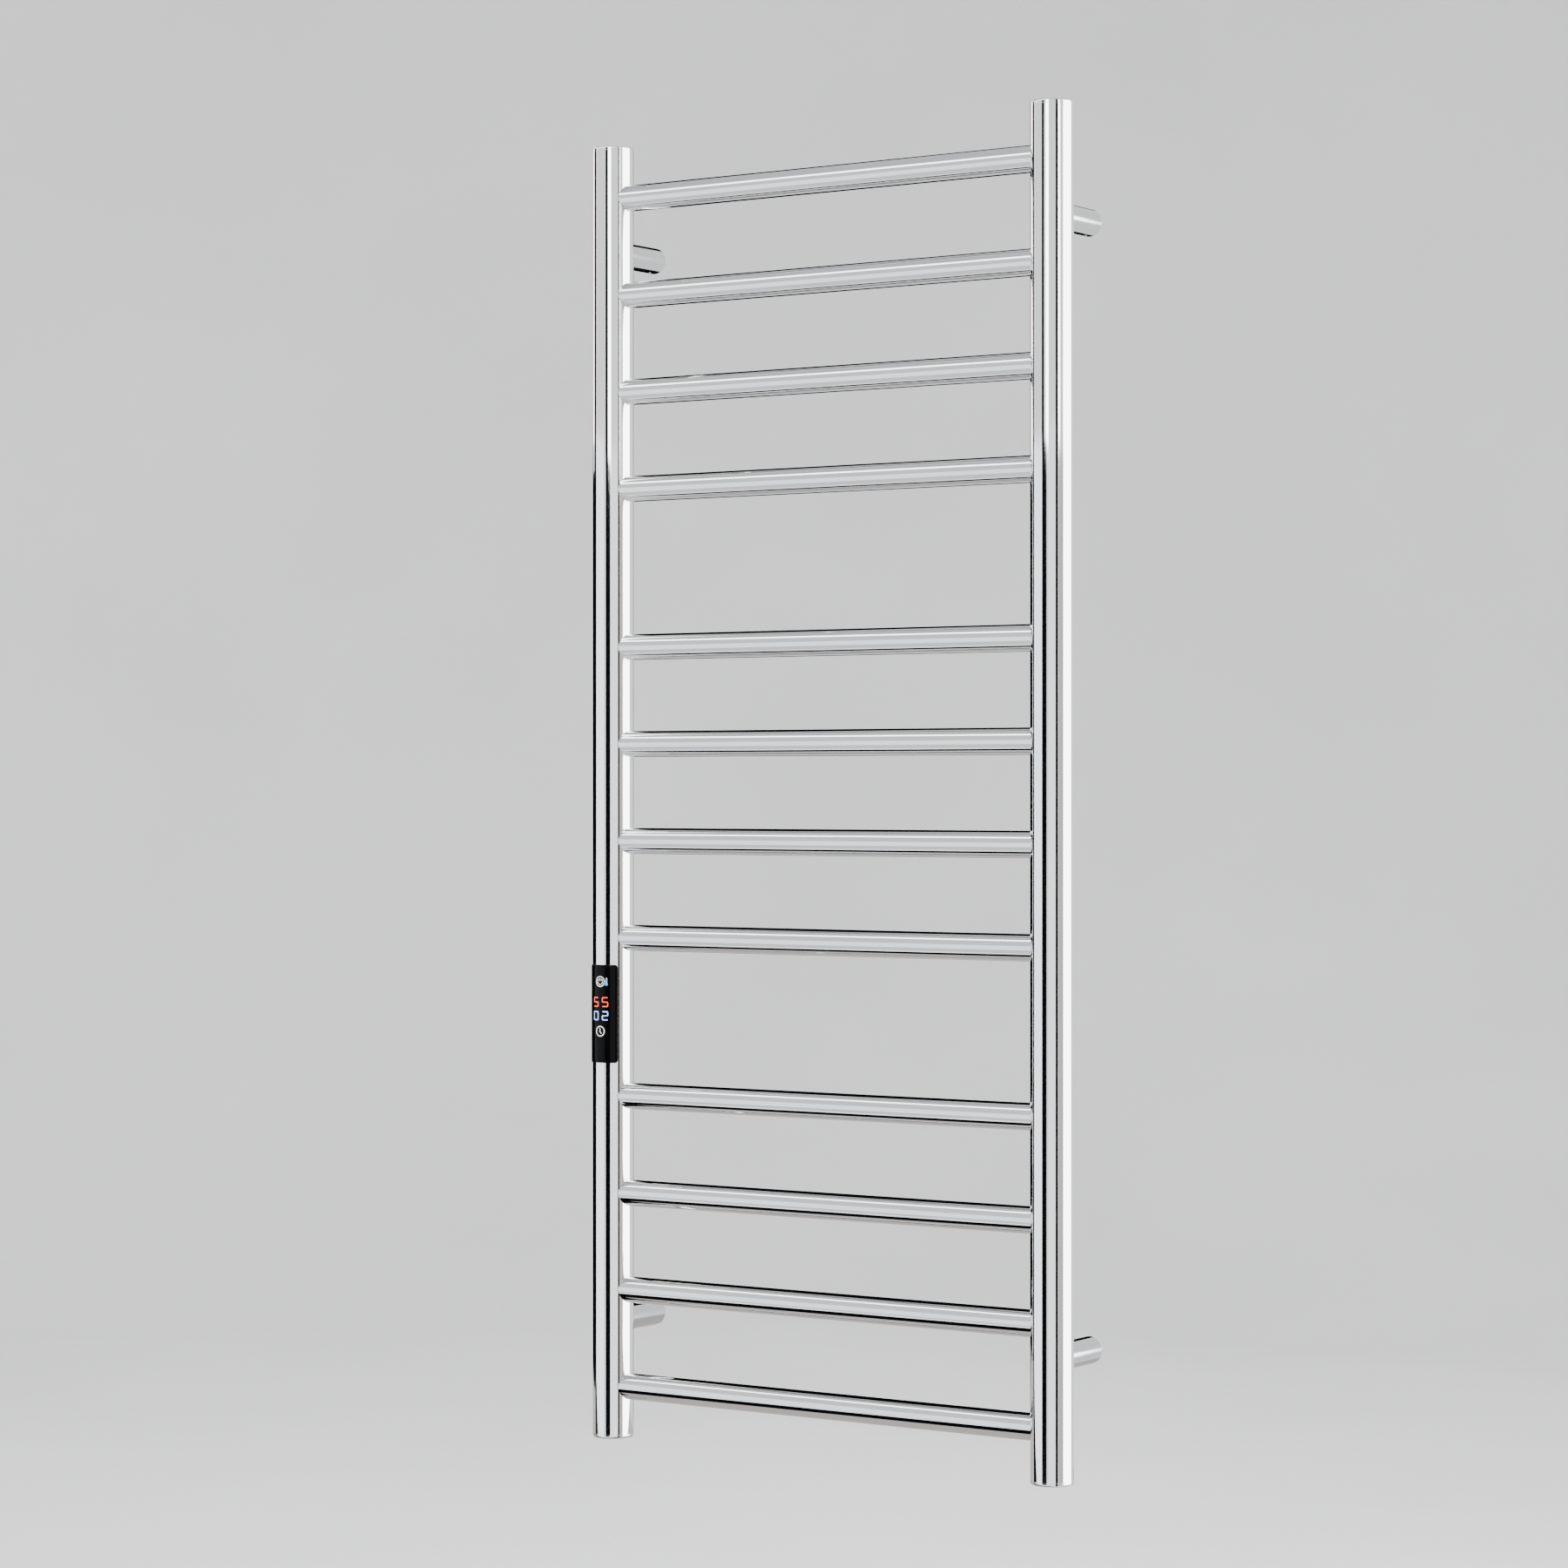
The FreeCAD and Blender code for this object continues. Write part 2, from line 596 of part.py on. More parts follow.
def thermal_fuse():
    """Heat-shrunk cut-out around the upper lead, just above the control."""
    start = V(heat_lead_x, lead_y, panel_z + housing_half_z + FUSE_RISE)
    body = rod(FUSE_DIAMETER / 2, start, Z_AXIS, FUSE_LENGTH)
    ends = [edge for edge in body.Edges if isinstance(edge.Curve, Part.Circle)]
    body = body.makeFillet(0.6, ends)
    return body.cut(rod(lead_r + SCREW_GAP, start, Z_AXIS, FUSE_LENGTH))


# ---- earth bond ----------------------------------------------------------------------
def earth_terminal():
    """Ring tag under the earth screw, bent up into a barrel for the lead."""
    base = earth_point(EARTH_BOSS_HEIGHT)
    barrel_base = V(earth_lead_x, lead_y, base.z)
    ring = rod(EARTH_TAG_DIAMETER / 2, base, Z_AXIS, EARTH_TAG_THICKNESS)
    half_tongue = EARTH_BARREL_DIAMETER / 2
    tongue_low = V(base.x, lead_y - half_tongue, base.z)
    tongue_high = V(earth_lead_x, lead_y + half_tongue, base.z + EARTH_TAG_THICKNESS)
    barrel = rod(EARTH_BARREL_DIAMETER / 2, barrel_base, Z_AXIS, EARTH_BARREL_LENGTH)
    body = ring.fuse(block(tongue_low, tongue_high)).fuse(barrel)
    body = body.cut(rod(EARTH_SCREW_DIAMETER / 2 + SCREW_GAP, base, Z_AXIS, EARTH_TAG_THICKNESS))
    mouth = V(earth_lead_x, lead_y, base.z + EARTH_BARREL_LENGTH - EARTH_BARREL_DEPTH)
    return body.cut(rod(lead_r + SCREW_GAP, mouth, Z_AXIS, EARTH_BARREL_DEPTH)).removeSplitter()


def earth_screw():
    seat = earth_point(EARTH_BOSS_HEIGHT + EARTH_TAG_THICKNESS)
    head = rod(EARTH_SCREW_HEAD / 2, seat, Z_AXIS, EARTH_SCREW_HEAD_HEIGHT)
    shank = rod(EARTH_SCREW_DIAMETER / 2 - SCREW_GAP, seat, Z_AXIS * -1, EARTH_SCREW_LENGTH)
    slot_low = seat + V(-EARTH_SCREW_HEAD, -0.5, EARTH_SCREW_HEAD_HEIGHT - 1)
    slot = block(slot_low, slot_low + V(2 * EARTH_SCREW_HEAD, 1, 2))
    return head.fuse(shank).cut(slot).removeSplitter()


def earth_lead():
    barrel_floor = earth_point(EARTH_BOSS_HEIGHT + EARTH_BARREL_LENGTH - EARTH_BARREL_DEPTH).z
    top_z = panel_z - TERMINAL_BASE_DROP
    return rod(lead_r, V(earth_lead_x, lead_y, barrel_floor), Z_AXIS, top_z - barrel_floor)


# ---- supply cable gland --------------------------------------------------------------
def gland_seal():
    """Rubber ring, saddled to the back of the post."""
    start = V(panel_x, post_y, gland_z)
    ring = pipe(
        GLAND_FLANGE / 2, GLAND_SPIGOT / 2 + GLAND_HOLE_GAP, start, Y_AXIS, post_r + GLAND_SEAL_THICKNESS
    )
    return ring.cut(post_axis_rod(panel_x, post_r, gland_z - GLAND_FLANGE, gland_z + GLAND_FLANGE))


def cable_gland():
    """Flanged bush that the supply cable passes through."""
    flange_y = post_y + post_r + GLAND_SEAL_THICKNESS
    inner_y = post_y + post_bore_r - GLAND_INSIDE_LENGTH
    flange = rod(GLAND_FLANGE / 2, V(panel_x, flange_y, gland_z), Y_AXIS, GLAND_FLANGE_THICKNESS)
    outer = [edge for edge in flange.Edges if edge.CenterOfMass.y > flange_y + 1e-6 and edge.Length > 1]
    outer = [edge for edge in outer if isinstance(edge.Curve, Part.Circle)]
    flange = flange.makeFillet(0.8, outer)
    spigot = rod(GLAND_SPIGOT / 2, V(panel_x, inner_y, gland_z), Y_AXIS, flange_y - inner_y)
    bore_length = flange_y + GLAND_FLANGE_THICKNESS - inner_y
    bore = rod(GLAND_BORE / 2, V(panel_x, inner_y, gland_z), Y_AXIS, bore_length)
    return flange.fuse(spigot).cut(bore).removeSplitter()


def gland_locknut():
    """Hexagon nut on the bush, saddled to the inside of the post."""
    start = V(panel_x, post_y + post_bore_r - GLAND_NUT_THICKNESS, gland_z)
    nut = hexagon_rod(GLAND_NUT_WIDTH, start, Y_AXIS, GLAND_NUT_THICKNESS)
    nut = nut.cut(rod(GLAND_SPIGOT / 2 + SCREW_GAP, start, Y_AXIS, GLAND_NUT_THICKNESS))
    return nut.common(post_axis_rod(panel_x, post_bore_r - WELD_GAP, gland_z - 20, gland_z + 20))


# ---- the whole rail ------------------------------------------------------------------
def build_nodes():
    nodes = {"left_post": left_post(), "right_post": post(RIGHT)}
    for number, height in enumerate(bar_heights, start=1):
        nodes[f"bar_{number:02d}"] = bar(height)
    nodes["left_top_cap"] = end_cap(LEFT, 1)
    nodes["right_top_cap"] = end_cap(RIGHT, 1)
    nodes["left_bottom_cap"] = earthed_cap()
    nodes["right_bottom_cap"] = end_cap(RIGHT, -1)
    for row, height in standoff_rows.items():
        for word, side in sides.items():
            nodes[f"{row}_{word}_standoff"] = standoff(side, height)
            nodes[f"{row}_{word}_wall_socket"] = wall_socket(side, height)
    nodes["grub_screws"] = grub_screws()

    nodes["control_cover"] = control_cover()
    nodes["cover_gasket"] = cover_gasket()
    nodes["control_housing"] = control_housing()
    nodes["circuit_board"] = circuit_board()
    nodes["board_screws"] = board_screws()
    nodes["display_module"] = display_module()
    nodes["touch_pads"] = touch_pads()
    nodes["power_relay"] = power_relay()
    nodes["terminal_block"] = terminal_block()
    nodes["temperature_sensor"] = temperature_sensor()
    nodes["sensor_lead"] = sensor_lead()

    route = cable_points()
    down = Z_AXIS * -1
    nodes["heating_cable"] = heating_cable()
    nodes["upper_splice"] = splice(route[0], down)
    nodes["lower_splice"] = splice(route[-1], Z_AXIS)
    nodes["upper_cold_lead"] = cold_lead("upper_cold_lead", route[0], down, panel_z + RELAY_TOP_RISE)
    nodes["lower_cold_lead"] = cold_lead("lower_cold_lead", route[-1], Z_AXIS, panel_z - TERMINAL_BASE_DROP)
    nodes["thermal_fuse"] = thermal_fuse()

    nodes["earth_terminal"] = earth_terminal()
    nodes["earth_screw"] = earth_screw()
    nodes["earth_lead"] = earth_lead()
    nodes["cable_gland"] = cable_gland()
    nodes["gland_seal"] = gland_seal()
    nodes["gland_locknut"] = gland_locknut()
    return nodes


def export(nodes):
    os.makedirs("parts", exist_ok=True)
    for name, shape in nodes.items():
        shape.exportStep(f"parts/{name}.step")


export(build_nodes())
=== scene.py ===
import math

import bmesh
import bpy
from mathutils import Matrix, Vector


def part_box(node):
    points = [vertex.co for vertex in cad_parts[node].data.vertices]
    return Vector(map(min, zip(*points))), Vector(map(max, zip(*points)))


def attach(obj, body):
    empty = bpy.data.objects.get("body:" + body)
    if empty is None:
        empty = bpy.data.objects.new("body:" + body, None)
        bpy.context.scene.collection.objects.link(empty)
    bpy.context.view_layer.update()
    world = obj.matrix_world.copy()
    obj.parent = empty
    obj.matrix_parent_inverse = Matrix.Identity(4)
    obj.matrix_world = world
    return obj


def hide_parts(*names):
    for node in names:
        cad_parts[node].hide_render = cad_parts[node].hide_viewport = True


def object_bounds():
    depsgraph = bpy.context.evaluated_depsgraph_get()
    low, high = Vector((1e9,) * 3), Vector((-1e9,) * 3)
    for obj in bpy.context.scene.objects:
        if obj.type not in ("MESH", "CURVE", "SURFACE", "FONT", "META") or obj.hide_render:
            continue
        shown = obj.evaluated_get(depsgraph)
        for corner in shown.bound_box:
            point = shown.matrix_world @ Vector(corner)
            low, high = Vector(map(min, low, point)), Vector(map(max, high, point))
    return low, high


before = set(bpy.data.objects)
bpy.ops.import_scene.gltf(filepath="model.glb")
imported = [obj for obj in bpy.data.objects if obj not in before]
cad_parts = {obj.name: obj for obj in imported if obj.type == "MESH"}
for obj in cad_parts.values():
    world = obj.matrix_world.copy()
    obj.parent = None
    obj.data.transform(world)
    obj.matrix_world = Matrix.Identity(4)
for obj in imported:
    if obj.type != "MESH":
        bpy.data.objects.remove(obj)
cad_low, cad_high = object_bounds()

# Electric ladder towel rail, in metres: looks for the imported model, a studio and a camera.
# +X is right seen from the front, +Y points at the wall and +Z is up.

MM = 0.001
SHARP_ANGLE = math.radians(35)
NOISE_LOW = 0.3         # the part of a noise's range that is spread over a look
NOISE_HIGH = 0.7

# ---- places read from the frame ------------------------------------------------------
post_low, post_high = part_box("left_post")
POST_X = (post_low.x + post_high.x) / 2
POST_Y = (post_low.y + post_high.y) / 2
POST_RADIUS = (post_high.x - post_low.x) / 2
cover_low, cover_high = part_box("control_cover")
COVER_Z = (cover_low.z + cover_high.z) / 2
COVER_HALF_HEIGHT = (cover_high.z - cover_low.z) / 2
COVER_RADIUS = POST_Y - cover_low.y
BASE_Z = cad_low.z

# ---- rungs and caps, with the sizes of the part's source ------------------------------
RUNG_WALL = 1.2 * MM
WELD_GAP = 0.03 * MM
CAP_THICKNESS = 3.5 * MM
CAP_EDGE_RADIUS = 1.5 * MM
CAP_SPIGOT_WALL = 2.0 * MM
CAP_FIT_GAP = 0.05 * MM
POST_WALL = 1.5 * MM
EARTH_BOSS_RADIUS = 4.0 * MM
EARTH_SCREW_RADIUS = 2.0 * MM

# ---- rungs and caps, with sizes that only this model has ------------------------------
CAP_SEAM_RADIUS = 0.45 * MM     # round that shows the seam between cap and post
CAP_SKIN = 0.01 * MM            # keeps the turned caps inside the CAD's box
CAP_CENTRE_RADIUS = 2.0 * MM    # innermost ring of a cap, closed by one flat face
CAP_FLAT_RADIUS = 9.0 * MM      # extra ring across a cap's outer face
BOSS_SINK = 0.2 * MM            # how far the earth boss reaches into the cap
RUNG_AROUND = 144
CAP_AROUND = 128
BOSS_AROUND = 48
CORNER_STEPS = 6
# Shares of a rung's half length, closer together towards the welds.
RUNG_STATIONS = [-1, -0.995, -0.98] + [step / 12 for step in range(-11, 12)] + [0.98, 0.995, 1]

# ---- round walls of the posts and standoffs ------------------------------------------
ROUND_TOLERANCE = 0.02 * MM     # most that the corners of a wall's face differ in radius
WALL_LEAN = 0.5                 # most that a wall's face leans along the tube's axis

# ---- the control's front -------------------------------------------------------------
COVER_HALF_ANGLE = math.radians(49.4)
COVER_CORNER = 3.0 * MM
COVER_BACK_GAP = 0.34 * MM
COVER_MIN_CORNER = 0.25 * MM
COVER_BEVEL = 2.6 * MM
FACE_SINK = 0.05 * MM
# Steps up the cover's edge in millimetres: how far in from its outline, and the radius
# from the post's axis.
COVER_EDGE = [(0.0, 19.70), (0.06, 19.88), (0.20, 20.02), (0.45, 20.12), (0.80, 20.18)]
COVER_FACE_INSETS = (6, 9, 12, 15, 17.4)

# ---- signs on the control, in millimetres from its centre unless MM is named ----------
SIGN_SINK = 0.01 * MM
SIGN_DEPTH = 0.06 * MM
STROKE_STEP = 0.4 * MM
ARC_STEP_DEGREES = 6
ARC_MIN_STEPS = 12
STROKE_END_ANGLES = (82, 65, 45, 22)
POWER_Z = 30.0
STEM_S = 6.6
TEMPERATURE_Z = 11.0
TEMPERATURE_HEIGHT = 9.2
TIMER_Z = -1.7
TIMER_HEIGHT = 8.6
CLOCK_Z = -16.1
CLOCK_HANDS = (-0.2, CLOCK_Z - 0.3)
DIGIT_WIDTH = 6.4
DIGIT_STROKE = 1.0
SEGMENT_GAP = 0.5
SEGMENTS = {
    "top": ((-1, 1), (1, 1)),
    "upper_left": ((-1, 1), (-1, 0)),
    "upper_right": ((1, 1), (1, 0)),
    "middle": ((-1, 0), (1, 0)),
    "lower_left": ((-1, 0), (-1, -1)),
    "lower_right": ((1, 0), (1, -1)),
    "bottom": ((-1, -1), (1, -1)),
}
DIGITS = {
    0: ("top", "upper_left", "upper_right", "lower_left", "lower_right", "bottom"),
    2: ("top", "upper_right", "middle", "lower_left", "bottom"),
    5: ("top", "upper_left", "middle", "lower_right", "bottom"),
}

# ---- studio --------------------------------------------------------------------------
FLOOR_DROP = 0.65
FLOOR_Z = BASE_Z - FLOOR_DROP
BOWL_FLAT_RADIUS = 5.5
BOWL_FLAT_STEPS = 6
BOWL_CURVE = 3.0
BOWL_CURVE_STEPS = 16
BOWL_HEIGHT = 6.0
BOWL_AROUND = 96
SURROUND_RADIUS = 5.0
SURROUND_HEIGHT = 5.0
SURROUND_LIFT = 0.01
CARD_STEP_DEGREES = 3
CARD_MIN_STEPS = 4
CARD_CLOTH_SHADE = 0.97
AIR_COLOUR = (0.90, 0.92, 0.95, 1)
AIR_STRENGTH = 1.05

# ---- camera --------------------------------------------------------------------------
CAMERA_PLACE = Vector((2.0221, -3.1453, 0.0))
CAMERA_HEADING = math.radians(33.88)
CAMERA_LENS = 93.92
CAMERA_SENSOR = 36.0
CAMERA_SHIFT = 0.0016
CAMERA_NEAR = 0.05
CAMERA_FAR = 60.0


# ---- material helpers ----------------------------------------------------------------
class Nodes:
    """Node tree of one material, with short names for the nodes that repeat."""

    def __init__(self, name, **sockets):
        self.material = bpy.data.materials.new(name)
        self.material.use_nodes = True
        self.tree = self.material.node_tree
        self.shader = self.tree.nodes["Principled BSDF"]
        for socket, value in sockets.items():
            self.shader.inputs[socket.replace("_", " ")].default_value = value

    def add(self, kind, **settings):
        """New node with its settings."""
        node = self.tree.nodes.new(kind)
        for name, value in settings.items():
            setattr(node, name, value)
        return node

    def link(self, output, target):
        """Joins an output to an input."""
        self.tree.links.new(output, target)

    def places(self, stretch=(1, 1, 1)):
        """Positions in metres in the rail's own frame, stretched along the axes."""
        where = self.add("ShaderNodeTexCoord")
        scaled = self.add("ShaderNodeMapping")
        scaled.inputs["Scale"].default_value = stretch
        self.link(where.outputs["Object"], scaled.inputs["Vector"])
        return scaled.outputs["Vector"]

    def noise(self, scale, detail=3.0, stretch=(1, 1, 1)):
        """Cloudy pattern, finer as the scale grows."""
        texture = self.add("ShaderNodeTexNoise")
        texture.inputs["Scale"].default_value = scale
        texture.inputs["Detail"].default_value = detail
        self.link(self.places(stretch), texture.inputs["Vector"])
        return texture.outputs["Fac"]

    def cells(self, scale):
        """Pattern of small rounded cells."""
        texture = self.add("ShaderNodeTexVoronoi")
        texture.inputs["Scale"].default_value = scale
        self.link(self.places(), texture.inputs["Vector"])
        return texture.outputs["Distance"]

    def span(self, source, low, high):
        """The middle of a noise, spread from low to high."""
        node = self.add("ShaderNodeMapRange")
        node.inputs["From Min"].default_value = NOISE_LOW
        node.inputs["From Max"].default_value = NOISE_HIGH
        node.inputs["To Min"].default_value = low
        node.inputs["To Max"].default_value = high
        self.link(source, node.inputs["Value"])
        return node.outputs["Result"]

    def colours(self, source, first, second):
        """The middle of a noise, spread from one colour to another."""
        node = self.add("ShaderNodeValToRGB")
        node.color_ramp.elements[0].position = NOISE_LOW
        node.color_ramp.elements[0].color = (*first, 1)
        node.color_ramp.elements[1].position = NOISE_HIGH
        node.color_ramp.elements[1].color = (*second, 1)
        self.link(source, node.inputs["Fac"])
        return node.outputs["Color"]

    def bump(self, source, depth, strength):
        """Relief on the surface, with its depth in metres."""
        node = self.add("ShaderNodeBump")
        node.inputs["Strength"].default_value = strength
        node.inputs["Distance"].default_value = depth
        self.link(source, node.inputs["Height"])
        self.link(node.outputs["Normal"], self.shader.inputs["Normal"])

    def to_shader(self, output, socket):
        """Drives a socket of the surface shader."""
        self.link(output, self.shader.inputs[socket])


def polished_steel(name, along, low=0.035, high=0.085, tone=0.88):
    """Mirror-polished tube with faint polishing lines along its length. A tone lower than the posts' 0.88 is
    painted shade on the same steel.
    """
    n = Nodes(name, Metallic=1.0)
    stretch = [1.0, 1.0, 1.0]
    stretch["XYZ".index(along)] = 0.02
    lines = n.noise(2600, 4, stretch)
    smears = n.noise(9, 3)
    smeared = (tone - 0.02, tone - 0.015, tone)
    clean = (tone + 0.02,) * 3
    n.to_shader(n.colours(smears, smeared, clean), "Base Color")
    n.to_shader(n.span(lines, low, high), "Roughness")
    n.bump(lines, 0.0006 * MM, 0.25)
    return n.material


def turned_metal(name, first, second, low, high):
    """Machined metal with fine tool marks."""
    n = Nodes(name, Metallic=1.0)
    marks = n.noise(3200, 4, (1, 0.15, 1))
    n.to_shader(n.colours(n.noise(160), first, second), "Base Color")
    n.to_shader(n.span(marks, low, high), "Roughness")
    n.bump(marks, 0.004 * MM, 0.4)
    return n.material


def gloss_black():
    """Deep black moulding with a weak, slightly hazy shine and a trace of dust."""
    n = Nodes("gloss_black_moulding", IOR=1.5, Specular_IOR_Level=0.06)
    haze = n.noise(220, 4)
    dust = n.noise(5200, 2)
    n.to_shader(n.colours(dust, (0.0010, 0.0010, 0.0012), (0.0022, 0.0022, 0.0025)), "Base Color")
    n.to_shader(n.span(haze, 0.03, 0.08), "Roughness")
    n.bump(haze, 0.002 * MM, 0.15)
    return n.material


def moulded(name, first, second, low=0.35, high=0.55):
    """Moulded plastic with a fine spark-eroded grain."""
    n = Nodes(name, IOR=1.48)
    texture = n.cells(2400)
    n.to_shader(n.colours(n.noise(140), first, second), "Base Color")
    n.to_shader(n.span(n.noise(900), low, high), "Roughness")
    n.bump(texture, 0.02 * MM, 0.35)
    return n.material


def soft_sleeve(name, first, second):
    """Rubbery sleeve or insulation with a matt, slightly uneven skin."""
    n = Nodes(name, IOR=1.42, Sheen_Weight=0.15, Sheen_Roughness=0.5)
    skin = n.noise(1500, 5)
    n.to_shader(n.colours(n.noise(90), first, second), "Base Color")
    n.to_shader(n.span(skin, 0.5, 0.7), "Roughness")
    n.bump(skin, 0.03 * MM, 0.4)
    return n.material


def circuit_laminate():
    """Green solder mask over copper tracks, which a brick pattern stands in for."""
    n = Nodes("circuit_laminate", IOR=1.5, Coat_Weight=0.3, Coat_Roughness=0.15)
    tracks = n.add("ShaderNodeTexBrick")
    tracks.inputs["Scale"].default_value = 420
    tracks.inputs["Color1"].default_value = (0.012, 0.11, 0.035, 1)
    tracks.inputs["Color2"].default_value = (0.018, 0.15, 0.05, 1)
    tracks.inputs["Mortar"].default_value = (0.03, 0.2, 0.08, 1)
    turned = n.add("ShaderNodeMapping")
    turned.inputs["Rotation"].default_value = (math.pi / 2, 0, 0)
    n.link(n.places(), turned.inputs["Vector"])
    n.link(turned.outputs["Vector"], tracks.inputs["Vector"])
    n.to_shader(tracks.outputs["Color"], "Base Color")
    n.to_shader(n.span(n.noise(700), 0.3, 0.45), "Roughness")
    n.bump(tracks.outputs["Fac"], 0.02 * MM, 0.5)
    return n.material


def lit_sign(name, first, second, strength):
    """Light showing through the black front, a little uneven along each stroke."""
    n = Nodes(name, Roughness=0.35, Emission_Strength=strength)
    glow = n.colours(n.noise(420, 2), first, second)
    n.to_shader(glow, "Base Color")
    n.to_shader(glow, "Emission Color")
    n.to_shader(n.span(n.noise(1800), 0.3, 0.4), "Roughness")
    return n.material


def studio_floor():
    """Pale matt paper with faint mottling."""
    n = Nodes("studio_floor_paper", IOR=1.4)
    mottling = n.noise(1.3, 4)
    n.to_shader(n.colours(mottling, (0.62, 0.62, 0.615), (0.66, 0.66, 0.655)), "Base Color")
    n.to_shader(n.span(n.noise(60, 4), 0.75, 0.9), "Roughness")
    n.bump(n.noise(350, 4), 0.05 * MM, 0.3)
    return n.material


def card_surface(name, colour, strength):
    """Face of a studio card, which only glows: brightly on a diffuser, hardly on a flag."""
    n = Nodes(name, Roughness=1.0, Emission_Strength=strength)
    cloth = n.noise(25, 3)
    dim = tuple(CARD_CLOTH_SHADE * part for part in colour)
    n.shader.inputs["Specular IOR Level"].default_value = 0.0
    n.shader.inputs["Base Color"].default_value = (0, 0, 0, 1)
    n.to_shader(n.colours(cloth, dim, colour), "Emission Color")
    return n.material


# ---- materials for the CAD nodes -----------------------------------------------------
STEEL_UPRIGHT = polished_steel("polished_steel_upright", "Z")
# The rungs and standoffs are the posts' polished steel given a darker tone: painted shade, not a different
# metal.
STEEL_RUNG_SHADED = polished_steel("polished_steel_rung_shaded", "X", tone=0.66)
STEEL_ARM_SHADED = polished_steel("polished_steel_arm_shaded", "Y", 0.05, 0.10, tone=0.62)
STEEL_CAP = polished_steel("polished_steel_cap", "X", 0.05, 0.10)
BLACK_FRONT = gloss_black()

SLOT_MATERIALS = {
    "socket_steel": turned_metal("socket_turned", (0.55, 0.55, 0.54), (0.66, 0.66, 0.65), 0.22, 0.34),
    "screw_steel": turned_metal("screw_turned", (0.42, 0.42, 0.43), (0.56, 0.56, 0.57), 0.25, 0.38),
    "gloss_black": BLACK_FRONT,
    "black_rubber": soft_sleeve("black_rubber_skin", (0.012, 0.012, 0.012), (0.022, 0.022, 0.021)),
    "black_nylon": moulded("black_nylon_grain", (0.014, 0.014, 0.015), (0.026, 0.026, 0.027)),
    "circuit_green": circuit_laminate(),
    "display_grey": moulded("display_case", (0.10, 0.10, 0.105), (0.14, 0.14, 0.145), 0.25, 0.4),
    "relay_blue": moulded("relay_case", (0.02, 0.07, 0.26), (0.03, 0.10, 0.34), 0.25, 0.4),
    "terminal_green": moulded("terminal_case", (0.02, 0.20, 0.06), (0.03, 0.28, 0.09)),
    "sensor_epoxy": moulded("sensor_bead", (0.02, 0.018, 0.016), (0.04, 0.035, 0.03), 0.2, 0.35),
    "silicone_red": soft_sleeve("silicone_sheath", (0.42, 0.05, 0.03), (0.55, 0.08, 0.05)),
    "heat_shrink": soft_sleeve("heat_shrink_sleeve", (0.015, 0.015, 0.016), (0.03, 0.03, 0.031)),
    "lead_white": soft_sleeve("lead_insulation", (0.70, 0.69, 0.66), (0.80, 0.79, 0.76)),
    "earth_green": soft_sleeve("earth_insulation", (0.10, 0.34, 0.06), (0.55, 0.60, 0.08)),
    "tinned_copper": turned_metal("tinned_tag", (0.60, 0.58, 0.54), (0.74, 0.72, 0.68), 0.25, 0.4),
}


def steel_for(node):
    """Polished steel whose polishing lines suit the shape of a CAD node."""
    if "post" in node:
        return STEEL_UPRIGHT
    if "bar_" in node:
        return STEEL_RUNG_SHADED
    if "standoff" in node:
        return STEEL_ARM_SHADED
    return STEEL_CAP


def dress_cad_nodes():
    """Gives every CAD node the look of its slot."""
    for node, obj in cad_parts.items():
        for slot in obj.material_slots:
            slot_name = slot.material.name
            slot.material = SLOT_MATERIALS.get(slot_name) or steel_for(node)


# ---- mesh helpers --------------------------------------------------------------------
def faces_out(mesh):
    """Turns the faces of a closed mesh to look outwards, and those of an open one all one way."""
    work = bmesh.new()
    work.from_mesh(mesh)
    bmesh.ops.recalc_face_normals(work, faces=work.faces)
    work.to_mesh(mesh)
    work.free()


def piece(name, vertices, faces, surface, smooth=True):
    """New object in the scene, made of vertices in metres and faces."""
    mesh = bpy.data.meshes.new(name)
    mesh.from_pydata(vertices, [], faces)
    mesh.materials.append(surface)
    faces_out(mesh)
    if smooth:
        mesh.shade_smooth()
        mesh.set_sharp_from_angle(angle=SHARP_ANGLE)
    obj = bpy.data.objects.new(name, mesh)
    bpy.context.scene.collection.objects.link(obj)
    return obj


def bridge(first, second):
    """Quads between two rings of vertex numbers that have the same length."""
    count = len(first)
    return [(first[i], first[(i + 1) % count], second[(i + 1) % count], second[i]) for i in range(count)]


def on_cover(s, z, radius):
    """Point at arc length s from the front line of the left post and height z from the
    control's centre, at a radius from the post's axis."""
    angle = s / COVER_RADIUS
    return Vector((POST_X + radius * math.sin(angle), POST_Y - radius * math.cos(angle), COVER_Z + z))


# ---- posts and standoffs -------------------------------------------------------------
def round_walls(mesh, centre, axis):
    """Corner normals of a mesh, with its tube walls shaded as true cylinders."""
    normals = [Vector(corner.vector) for corner in mesh.corner_normals]
    for face in mesh.polygons:
        spokes = [mesh.vertices[i].co - centre for i in face.vertices]
        spokes = [spoke - axis * spoke.dot(axis) for spoke in spokes]
        lengths = [spoke.length for spoke in spokes]
        if max(lengths) - min(lengths) > ROUND_TOLERANCE or abs(face.normal.dot(axis)) > WALL_LEAN:
            continue
        side = 1 if face.normal.dot(spokes[0]) > 0 else -1
        for loop, spoke in zip(face.loop_indices, spokes):
            normals[loop] = side * spoke.normalized()
    return normals


def polished_tube(node, axis, surface):
    """Copy of a CAD tube whose reflections run straight along it."""
    low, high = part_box(node)
    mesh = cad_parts[node].data.copy()
    mesh.materials.clear()
    mesh.materials.append(surface)
    mesh.normals_split_custom_set(round_walls(mesh, (low + high) / 2, Vector(axis)))
    obj = bpy.data.objects.new(f"polished_{node}", mesh)
    bpy.context.scene.collection.objects.link(obj)
    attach(obj, "rail")
    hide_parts(node)


